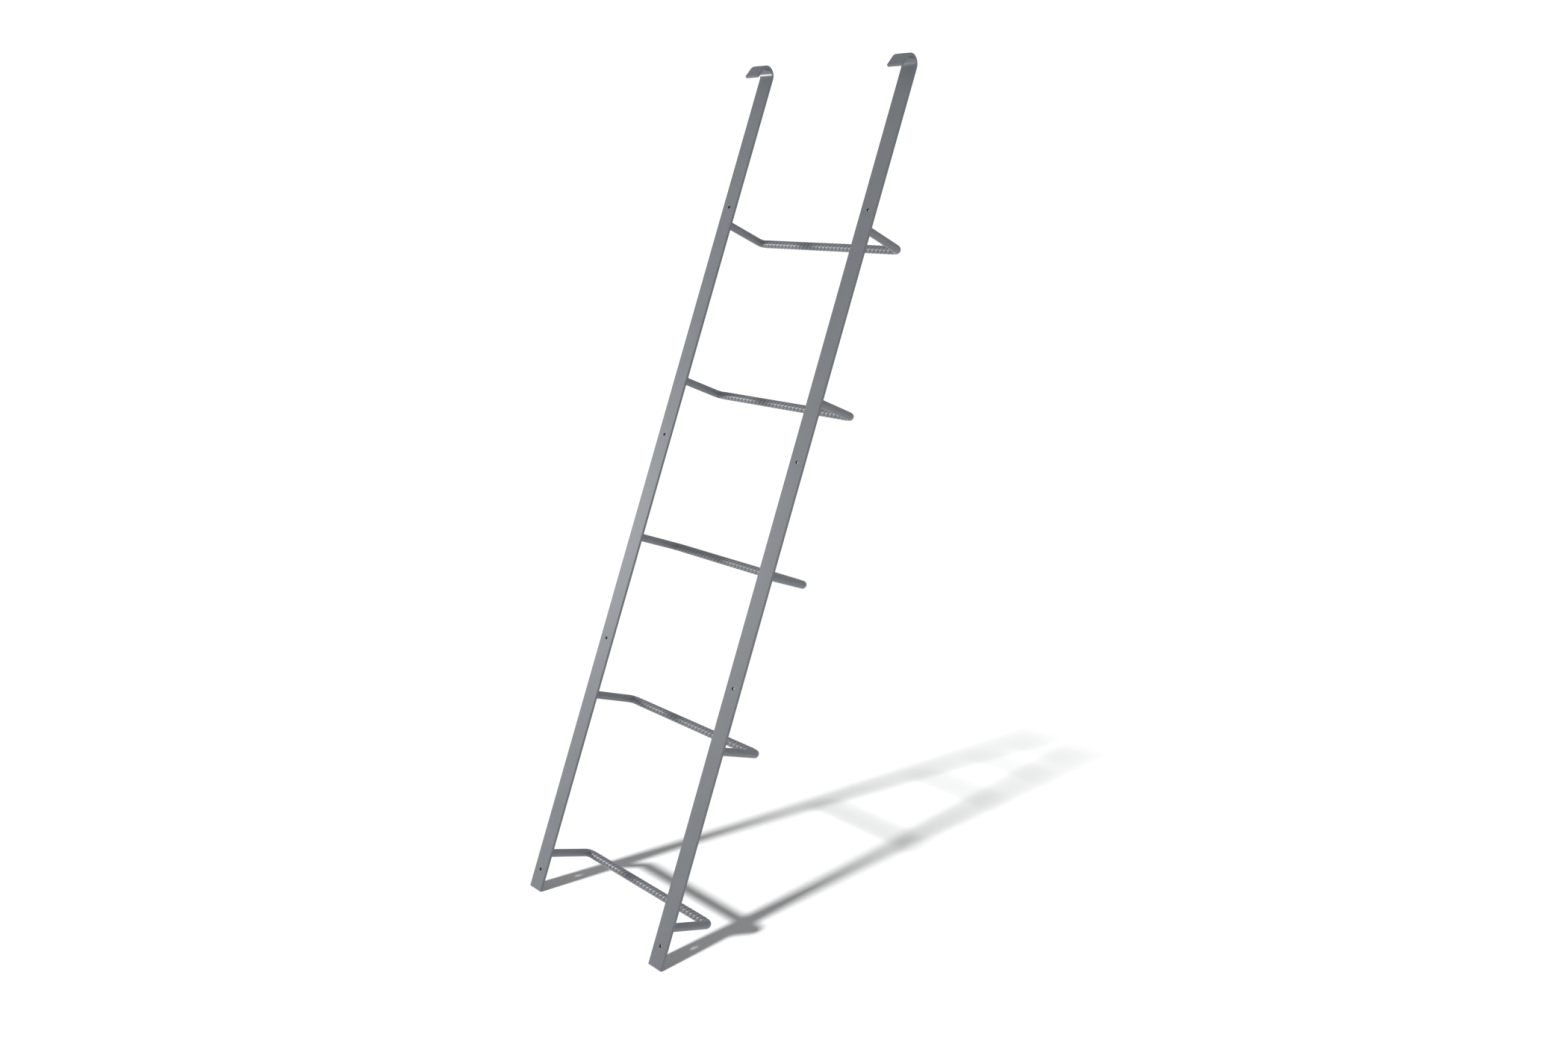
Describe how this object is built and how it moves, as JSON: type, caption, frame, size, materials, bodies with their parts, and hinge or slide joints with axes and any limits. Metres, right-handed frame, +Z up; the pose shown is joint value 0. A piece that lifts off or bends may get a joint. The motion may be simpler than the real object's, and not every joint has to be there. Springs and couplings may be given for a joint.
{
  "type": "hook-on ladder",
  "caption": "Steel hook-on ladder with flat-bar rails bent into wall hooks, bolt holes, and ribbed round-bar rungs that stand off from the wall.",
  "frame": {"origin": "centre of the wall bolt patterns, level with the middle rung, midway between the rails, on the rails' wall face", "axes": "+X along the rungs from the left rail to the right rail, +Y away from the wall towards the treads, +Z up the rails towards the hooks"},
  "size_m": [0.3682, 0.152, 1.586],
  "materials": {
    "rail_coat": "satin grey powder coat on flat bar",
    "rung_coat": "satin grey powder coat on ribbed round bar",
    "weld_coat": "satin grey powder coat over weld bead"
  },
  "bodies": {
    "root": {"left_rail": "rail_coat", "right_rail": "rail_coat", "rung_1": "rung_coat", "rung_2": "rung_coat", "rung_3": "rung_coat", "rung_4": "rung_coat", "rung_5": "rung_coat", "weld_1_left": "weld_coat", "weld_2_left": "weld_coat", "weld_3_left": "weld_coat", "weld_4_left": "weld_coat", "weld_5_left": "weld_coat", "weld_1_right": "weld_coat", "weld_2_right": "weld_coat", "weld_3_right": "weld_coat", "weld_4_right": "weld_coat", "weld_5_right": "weld_coat"}
  },
  "joints": []
}
